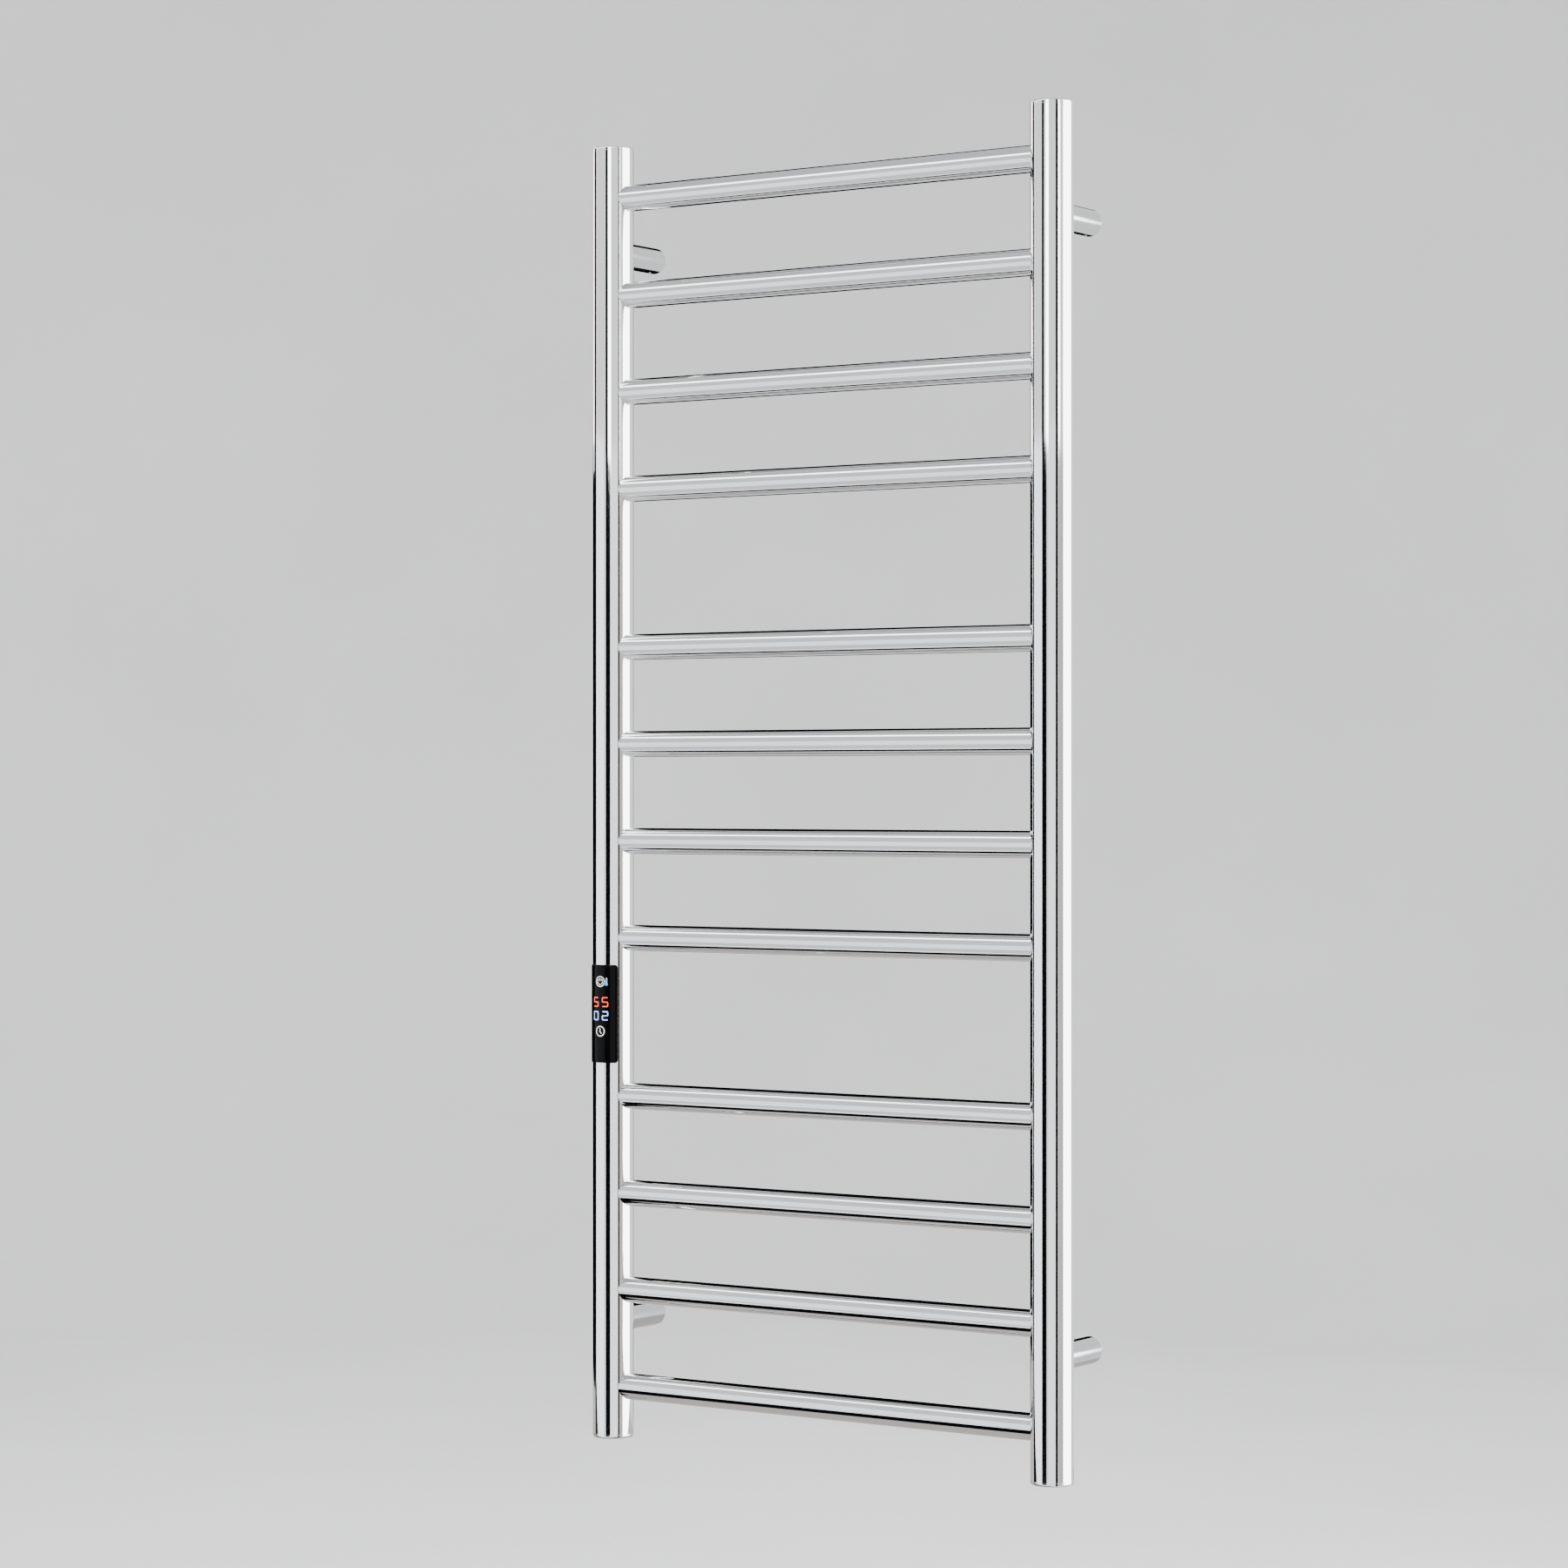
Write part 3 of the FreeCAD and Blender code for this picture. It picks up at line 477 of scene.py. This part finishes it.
def posts_and_standoffs():
    """Straight tubes of the rail: upright posts and standoffs that run to the wall."""
    for node in sorted(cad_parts):
        if node.endswith("_post"):
            polished_tube(node, (0, 0, 1), STEEL_UPRIGHT)
        if node.endswith("_standoff"):
            polished_tube(node, (0, 1, 0), STEEL_ARM_SHADED)


# ---- rungs ---------------------------------------------------------------------------
def cope_reach(radius, angle):
    """How far a point on a rung's wall is from the middle, at the surface of a post."""
    across = radius * math.cos(angle)
    return abs(POST_X) - math.sqrt((POST_RADIUS + WELD_GAP) ** 2 - across ** 2)


def rung(node):
    """Fine tube whose ends follow the posts."""
    low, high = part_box(node)
    outer = (high.z - low.z) / 2
    centre_z = (high.z + low.z) / 2
    outside = [(outer, share) for share in RUNG_STATIONS]
    inside = [(outer - RUNG_WALL, share) for share in reversed(RUNG_STATIONS)]
    vertices = []
    rows = []
    for radius, share in outside + inside:
        rows.append(list(range(len(vertices), len(vertices) + RUNG_AROUND)))
        for step in range(RUNG_AROUND):
            angle = 2 * math.pi * step / RUNG_AROUND
            x = share * cope_reach(radius, angle)
            vertices.append((x, POST_Y + radius * math.cos(angle), centre_z + radius * math.sin(angle)))
    faces = []
    for first, second in zip(rows, rows[1:] + rows[:1]):
        faces += bridge(first, second)
    obj = piece(node.replace("bar_", "polished_rung_"), vertices, faces, STEEL_RUNG_SHADED)
    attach(obj, "rail")
    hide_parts(node)


def rungs():
    """One polished rung for every bar of the CAD."""
    for node in sorted(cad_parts):
        if node.startswith("bar_"):
            rung(node)


# ---- end caps ------------------------------------------------------------------------
def quarter(centre, radius, first, last):
    """Points of a rounded corner in a turned profile, between two angles in degrees."""
    turn = last - first
    angles = [math.radians(first + turn * step / CORNER_STEPS) for step in range(CORNER_STEPS + 1)]
    return [(centre[0] + radius * math.cos(a), centre[1] + radius * math.sin(a)) for a in angles]


def turn_profile(vertices, faces, profile, centre, closed, around):
    """Adds a profile of (radius, height) points turned about an upright axis. A closed
    profile makes a ring, and an open one is covered at both of its ends."""
    rows = []
    for radius, z in profile:
        rows.append(list(range(len(vertices), len(vertices) + around)))
        for step in range(around):
            angle = 2 * math.pi * step / around
            vertices.append((centre[0] + radius * math.cos(angle), centre[1] + radius * math.sin(angle), z))
    for first, second in zip(rows, rows[1:] + (rows[:1] if closed else [])):
        faces += bridge(first, second)
    if not closed:
        faces.append(tuple(reversed(rows[0])))
        faces.append(tuple(rows[-1]))


def cap_profile(outer_z, end, depth):
    """Rounded disc with a fine round at its seam and a ring spigot inside the post."""
    inner_z = CAP_THICKNESS
    rim = POST_RADIUS - CAP_SKIN
    spigot = POST_RADIUS - POST_WALL - CAP_FIT_GAP
    edge = quarter((rim - CAP_EDGE_RADIUS, CAP_EDGE_RADIUS), CAP_EDGE_RADIUS, -90, 0)
    seam = quarter((rim - CAP_SEAM_RADIUS, inner_z - CAP_SEAM_RADIUS), CAP_SEAM_RADIUS, 0, 90)
    middle = [(CAP_CENTRE_RADIUS, 0), (CAP_FLAT_RADIUS, 0)]
    inside = [(spigot, inner_z), (spigot, depth), (spigot - CAP_SPIGOT_WALL, depth),
              (spigot - CAP_SPIGOT_WALL, inner_z), (CAP_CENTRE_RADIUS, inner_z)]
    return [(radius, outer_z - end * z) for radius, z in middle + edge + seam + inside]


def earth_boss(vertices, faces, cap_outer_z):
    """Adds the ring that takes the earth screw, on the inner face of a bottom cap."""
    screw_low, screw_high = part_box("earth_screw")
    centre = ((screw_low.x + screw_high.x) / 2, (screw_low.y + screw_high.y) / 2)
    low_z = cap_outer_z + CAP_THICKNESS - BOSS_SINK
    high_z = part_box("earth_terminal")[0].z
    profile = [(EARTH_SCREW_RADIUS, low_z), (EARTH_BOSS_RADIUS, low_z),
               (EARTH_BOSS_RADIUS, high_z), (EARTH_SCREW_RADIUS, high_z)]
    turn_profile(vertices, faces, profile, centre, closed=True, around=BOSS_AROUND)


def end_cap(side_word, end_word):
    """Turned cap at one end of a post. The left bottom cap also carries the earth boss."""
    node = f"{side_word}_{end_word}_cap"
    low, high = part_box(node)
    end = 1 if end_word == "top" else -1
    outer_z = high.z if end > 0 else low.z
    centre = ((low.x + high.x) / 2, POST_Y)
    earthed = node == "left_bottom_cap"
    if earthed:
        # This cap's box holds its boss too, so the spigot's depth is read from a plain cap.
        low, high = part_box("right_bottom_cap")
    profile = cap_profile(outer_z, end, high.z - low.z)
    vertices = []
    faces = []
    turn_profile(vertices, faces, profile, centre, closed=False, around=CAP_AROUND)
    if earthed:
        earth_boss(vertices, faces, outer_z)
    obj = piece(f"polished_{node}", vertices, faces, STEEL_CAP)
    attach(obj, "rail")
    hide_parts(node)


# ---- control cover -------------------------------------------------------------------
def rounded_outline(half_width, half_height, corner):
    """Rounded rectangle, anticlockwise, with the same number of points at every size."""
    corner_steps = 8
    side_steps = {0: 20, 1: 28}
    centres = [(1, -1), (1, 1), (-1, 1), (-1, -1)]
    points = []
    for index, (sx, sz) in enumerate(centres):
        centre = (sx * (half_width - corner), sz * (half_height - corner))
        first_angle = math.radians(90 * index - 90)
        for step in range(corner_steps + 1):
            angle = first_angle + math.radians(90) * step / corner_steps
            points.append((centre[0] + corner * math.cos(angle), centre[1] + corner * math.sin(angle)))
        start = points[-1]
        nx, nz = centres[(index + 1) % 4]
        next_angle = math.radians(90 * index)
        end = (nx * (half_width - corner) + corner * math.cos(next_angle),
               nz * (half_height - corner) + corner * math.sin(next_angle))
        steps = side_steps[index % 2]
        for step in range(1, steps):
            share = step / steps
            points.append((start[0] + (end[0] - start[0]) * share, start[1] + (end[1] - start[1]) * share))
    return points


def cover_profile():
    """Steps from the cover's back edge to the middle of its face: how far in from the
    outline, and the radius from the post's axis."""
    back = POST_RADIUS + COVER_BACK_GAP
    face = COVER_RADIUS - FACE_SINK
    edge = [(inset * MM, radius * MM) for inset, radius in COVER_EDGE]
    crest = [(COVER_BEVEL - 0.3 * MM, 20.40 * MM), (COVER_BEVEL, 20.46 * MM),
             (COVER_BEVEL + 0.3 * MM, 20.51 * MM), (COVER_BEVEL + 0.8 * MM, face)]
    flat = [(inset * MM, face) for inset in COVER_FACE_INSETS]
    return [(0.0, back)] + edge + crest + flat


def control_front():
    """Black front, bent round the left post, with a bevelled edge and a plain back."""
    half_width = COVER_HALF_ANGLE * COVER_RADIUS
    profile = cover_profile()
    rows = []
    vertices = []
    back_rows = [(inset, profile[0][1]) for inset, _ in profile[:0:-1]]
    for inset, radius in back_rows + profile:
        corner = max(COVER_CORNER - inset, COVER_MIN_CORNER)
        outline = rounded_outline(half_width - inset, COVER_HALF_HEIGHT - inset, corner)
        rows.append(list(range(len(vertices), len(vertices) + len(outline))))
        vertices += [on_cover(s, z, radius) for s, z in outline]
    faces = []
    for first, second in zip(rows, rows[1:]):
        faces += bridge(first, second)
    faces.append(tuple(reversed(rows[0])))
    faces.append(tuple(rows[-1]))
    cover = piece("control_front", vertices, faces, BLACK_FRONT)
    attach(cover, "rail")
    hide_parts("control_cover")


# ---- signs on the control ------------------------------------------------------------
def ribbon_rows(path, width, closed):
    """Places, directions and half widths along a stroke with rounded ends."""
    count = len(path)
    rows = []
    for i, point in enumerate(path):
        before = path[(i - 1) % count] if closed or i > 0 else point
        after = path[(i + 1) % count] if closed or i < count - 1 else point
        heading = (after - before).normalized()
        rows.append((point, heading, width / 2))
    if closed:
        return rows
    round_off = [math.radians(angle) for angle in STROKE_END_ANGLES]
    head = [(rows[0][0] - rows[0][1] * (width / 2) * math.sin(a), rows[0][1], width / 2 * math.cos(a))
            for a in round_off]
    tail = [(rows[-1][0] + rows[-1][1] * (width / 2) * math.sin(a), rows[-1][1], width / 2 * math.cos(a))
            for a in reversed(round_off)]
    return head + rows + tail


def add_stroke(vertices, faces, path, width, closed=False):
    """Thin solid ribbon laid into the cover's front along a path of (s, z) points."""
    top = COVER_RADIUS - SIGN_SINK
    bottom = top - SIGN_DEPTH
    rings = []
    for point, heading, half in ribbon_rows(path, width, closed):
        side = Vector((-heading.y, heading.x)) * half
        ring = []
        for share, radius in ((1, bottom), (1, top), (0, top), (-1, top), (-1, bottom)):
            place = point + side * share
            ring.append(len(vertices))
            vertices.append(on_cover(place.x, place.y, radius))
        rings.append(ring)
    for first, second in zip(rings, rings[1:]):
        faces += bridge(first, second)
    if closed:
        faces += bridge(rings[-1], rings[0])
    else:
        faces.append(tuple(rings[0]))
        faces.append(tuple(reversed(rings[-1])))


def straight(start, end):
    """Points along a line, close enough together to follow the cover's curve."""
    start = Vector(start) * MM
    end = Vector(end) * MM
    steps = max(2, round((end - start).length / STROKE_STEP))
    return [start.lerp(end, step / steps) for step in range(steps + 1)]


def arc(centre, radius, first, last, closed=False):
    """Points round a circle in millimetres, from one angle to another in degrees."""
    steps = max(ARC_MIN_STEPS, round(abs(last - first) / ARC_STEP_DEGREES))
    count = steps if closed else steps + 1
    angles = [math.radians(first + (last - first) * step / steps) for step in range(count)]
    return [Vector((centre[0] + radius * math.cos(a), centre[1] + radius * math.sin(a))) * MM for a in angles]


def sign(name, strokes, surface):
    """One sign made of strokes, each a path, a width in millimetres and whether it closes."""
    vertices = []
    faces = []
    for path, width, closed in strokes:
        add_stroke(vertices, faces, path, width * MM, closed)
    obj = piece(name, vertices, faces, surface, smooth=False)
    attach(obj, "rail")
    return obj


def digit_strokes(digit, centre, height):
    """Seven-segment digit, with a small gap between neighbouring segments."""
    half_width = (DIGIT_WIDTH - DIGIT_STROKE) / 2
    half_height = (height - DIGIT_STROKE) / 2
    strokes = []
    for segment in DIGITS[digit]:
        start, end = [Vector((centre[0] + x * half_width, centre[1] + z * half_height))
                      for x, z in SEGMENTS[segment]]
        gap = (end - start).normalized() * SEGMENT_GAP
        strokes.append((straight(start + gap, end - gap), DIGIT_STROKE, False))
    return strokes


def power_sign(surface):
    """Ring round the usual standby mark."""
    strokes = [
        (arc((0, POWER_Z), 4.55, 0, 360, True), 0.75, True),
        (arc((0, POWER_Z), 2.6, 125, 415), 0.5, False),
        (straight((0, POWER_Z + 0.7), (0, POWER_Z + 2.6)), 0.6, False),
    ]
    sign("power_sign", strokes, surface)


def thermometer_sign(surface):
    """Thermometer beside the power sign: a stem over a wider bulb."""
    strokes = [
        (straight((STEM_S, POWER_Z - 1.6), (STEM_S, POWER_Z + 2.9)), 1.4, False),
        (straight((STEM_S, POWER_Z - 2.5), (STEM_S, POWER_Z - 2.2)), 2.7, False),
    ]
    sign("thermometer_sign", strokes, surface)


def digit_rows(red, blue):
    """Two digits of temperature over two digits of the timer."""
    temperature = digit_strokes(5, (-5.0, TEMPERATURE_Z), TEMPERATURE_HEIGHT)
    temperature += digit_strokes(5, (5.15, TEMPERATURE_Z), TEMPERATURE_HEIGHT)
    sign("temperature_digits", temperature, red)
    timer = digit_strokes(0, (-5.1, TIMER_Z), TIMER_HEIGHT)
    timer += digit_strokes(2, (5.2, TIMER_Z), TIMER_HEIGHT)
    sign("timer_digits", timer, blue)


def clock_sign(surface):
    """Clock face with two hands."""
    strokes = [
        (arc((0, CLOCK_Z), 4.5, 0, 360, True), 0.75, True),
        (straight(CLOCK_HANDS, (-0.2, CLOCK_Z + 2.4)), 0.65, False),
        (straight(CLOCK_HANDS, (1.4, CLOCK_Z - 1.9)), 0.65, False),
    ]
    sign("clock_sign", strokes, surface)


def control_signs():
    """Everything that is lit on the control's front."""
    white = lit_sign("sign_white", (0.80, 0.80, 0.78), (0.95, 0.95, 0.93), 0.9)
    red = lit_sign("digits_red", (0.95, 0.012, 0.002), (1.0, 0.075, 0.004), 1.5)
    blue = lit_sign("digits_blue", (0.08, 0.30, 0.95), (0.42, 0.72, 1.0), 1.5)
    pale = lit_sign("thermometer_blue", (0.03, 0.20, 0.55), (0.16, 0.55, 0.85), 0.8)
    power_sign(white)
    thermometer_sign(pale)
    digit_rows(red, blue)
    clock_sign(white)


# ---- studio --------------------------------------------------------------------------
def bowl():
    """Round floor that sweeps up into a wall on every side."""
    profile = []
    for step in range(1, BOWL_FLAT_STEPS + 1):
        profile.append((BOWL_FLAT_RADIUS * step / BOWL_FLAT_STEPS, FLOOR_Z))
    for step in range(1, BOWL_CURVE_STEPS + 1):
        angle = math.radians(90) * step / BOWL_CURVE_STEPS
        rise = BOWL_CURVE * (1 - math.cos(angle))
        profile.append((BOWL_FLAT_RADIUS + BOWL_CURVE * math.sin(angle), FLOOR_Z + rise))
    profile.append((BOWL_FLAT_RADIUS + BOWL_CURVE, FLOOR_Z + BOWL_HEIGHT))
    vertices = [(0, 0, FLOOR_Z)]
    rows = []
    for radius, z in profile:
        rows.append(list(range(len(vertices), len(vertices) + BOWL_AROUND)))
        for step in range(BOWL_AROUND):
            angle = 2 * math.pi * step / BOWL_AROUND
            vertices.append((radius * math.cos(angle), radius * math.sin(angle), z))
    faces = [(0, rows[0][i], rows[0][(i + 1) % BOWL_AROUND]) for i in range(BOWL_AROUND)]
    for first, second in zip(rows, rows[1:]):
        faces += bridge(second, first)
    obj = piece("studio_bowl", vertices, faces, studio_floor())
    obj.visible_glossy = False


def surround(surface):
    """Even grey tent, seen only in reflections: a floor and a round wall, open above."""
    floor_z = FLOOR_Z + SURROUND_LIFT
    upright_card("surround_wall", -180, 180, SURROUND_RADIUS, floor_z, SURROUND_HEIGHT, surface)
    reach = SURROUND_RADIUS
    level_card("surround_floor", (-reach, -reach), (reach, reach), floor_z, surface)


def seen_in_reflections_only(obj, lights=False):
    """Keeps a card and its shadow out of the picture. Only with lights on does its glow
    also fall on matt surfaces."""
    obj.visible_camera = False
    obj.visible_shadow = False
    obj.visible_diffuse = lights


def upright_card(name, first, last, distance, low, high, surface, lights=False):
    """Curved card round the rail, from one bearing to another in degrees. Bearings run
    from the front, -Y, towards +X, and heights are from the fixings' centre."""
    steps = max(CARD_MIN_STEPS, round(abs(last - first) / CARD_STEP_DEGREES))
    vertices = []
    for step in range(steps + 1):
        bearing = math.radians(first + (last - first) * step / steps)
        x = distance * math.sin(bearing)
        y = POST_Y - distance * math.cos(bearing)
        vertices += [(x, y, low), (x, y, high)]
    faces = [(2 * i, 2 * i + 2, 2 * i + 3, 2 * i + 1) for i in range(steps)]
    seen_in_reflections_only(piece(name, vertices, faces, surface), lights)


def level_card(name, low, high, z, surface):
    """Flat card between two (x, y) corners at one height."""
    corners = [(low[0], low[1], z), (high[0], low[1], z), (high[0], high[1], z), (low[0], high[1], z)]
    seen_in_reflections_only(piece(name, corners, [(0, 1, 2, 3)], surface))


def studio_cards():
    """Cards that draw the stripes on the polished steel, placed for the camera's view."""
    black = card_surface("flag_black", (0.002, 0.002, 0.003), 1.0)
    white = card_surface("diffuser_white", (1.0, 1.0, 0.99), 9.0)
    bright = card_surface("diffuser_bright", (1.0, 1.0, 0.99), 7.0)
    cool = card_surface("diffuser_cool", (0.93, 0.96, 1.0), 2.5)
    soft = card_surface("diffuser_soft", (0.97, 0.98, 1.0), 1.9)
    warm = card_surface("diffuser_warm", (1.0, 0.92, 0.85), 5.0)
    dim_warm = card_surface("bounce_warm", (0.80, 0.76, 0.72), 1.0)
    surround(card_surface("tent_grey", (0.97, 0.985, 1.0), 1.35))

    upright_card("softbox_left", -84, -20, 3.4, FLOOR_Z, 0.60, cool, True)
    upright_card("softbox_front", 14, 58, 3.4, FLOOR_Z, 0.60, soft, True)
    upright_card("flag_front", -15.5, 11, 1.45, FLOOR_Z, 0.42, black)
    upright_card("flag_front_tall", -17, -4, 1.45, 0.42, 2.4, black)
    upright_card("strip_front", 2, 18, 2.3, 0.48, 2.4, white)
    upright_card("flag_left", -122, -76, 2.4, FLOOR_Z, 0.46, black)
    upright_card("strip_left", -118, -97, 2.4, 0.50, 2.2, warm)
    upright_card("flag_left_thin", -96, -78, 2.4, 0.46, 2.4, black)
    upright_card("flag_rear_left", -166, -118, 2.5, FLOOR_Z, 3.0, black)
    upright_card("flag_thin", 57.5, 67.5, 1.0, FLOOR_Z, 2.4, black)
    upright_card("bounce_right", 66, 92, 2.9, FLOOR_Z, 0.5, dim_warm)
    upright_card("strip_right", 64, 75, 2.9, 0.52, 2.4, bright)
    upright_card("softbox_right", 91, 146, 3.0, FLOOR_Z, 2.6, white, True)
    level_card("softbox_top", (-2.4, -0.92), (0.4, -0.60), 1.08, bright)
    level_card("glow_low", (-1.2, -0.55), (0.3, -0.40), -0.70, cool)
    level_card("flag_low", (-1.2, -0.40), (0.3, -0.17), -0.70, black)
    level_card("bounce_low", (-1.2, -0.17), (0.3, 0.60), -0.70, dim_warm)


def soft_light(name, place, size, watts):
    """Wide soft panel of light aimed at the rail."""
    data = bpy.data.lights.new(name, "AREA")
    data.shape = "RECTANGLE"
    data.size = size[0]
    data.size_y = size[1]
    data.energy = watts
    obj = bpy.data.objects.new(name, data)
    obj.location = place
    aim = Vector((0, POST_Y, 0)) - Vector(place)
    obj.rotation_euler = aim.to_track_quat("-Z", "Y").to_euler()
    obj.visible_camera = False
    obj.visible_glossy = False
    bpy.context.scene.collection.objects.link(obj)


def studio_lights():
    """Soft fill for the matt surfaces, and the air around everything."""
    soft_light("fill_front", (1.5, -5.0, 3.5), (4.0, 3.0), 300)
    soft_light("fill_above", (0.0, 1.0, 5.0), (6.0, 6.0), 620)
    world = bpy.data.worlds.new("studio_air")
    world.use_nodes = True
    background = world.node_tree.nodes["Background"]
    background.inputs["Color"].default_value = AIR_COLOUR
    background.inputs["Strength"].default_value = AIR_STRENGTH
    bpy.context.scene.world = world


def camera():
    """Camera at the place and with the lens solved from the photo's outlines."""
    data = bpy.data.cameras.new("photo_view")
    data.lens = CAMERA_LENS
    data.sensor_width = CAMERA_SENSOR
    data.shift_y = CAMERA_SHIFT
    data.clip_start = CAMERA_NEAR
    data.clip_end = CAMERA_FAR
    obj = bpy.data.objects.new("photo_view", data)
    obj.location = CAMERA_PLACE
    obj.rotation_euler = (math.pi / 2, 0, CAMERA_HEADING)
    bpy.context.scene.collection.objects.link(obj)
    bpy.context.scene.camera = obj


dress_cad_nodes()
posts_and_standoffs()
rungs()
for side_word in ("left", "right"):
    for end_word in ("top", "bottom"):
        end_cap(side_word, end_word)
control_front()
control_signs()
bowl()
studio_cards()
studio_lights()
camera()
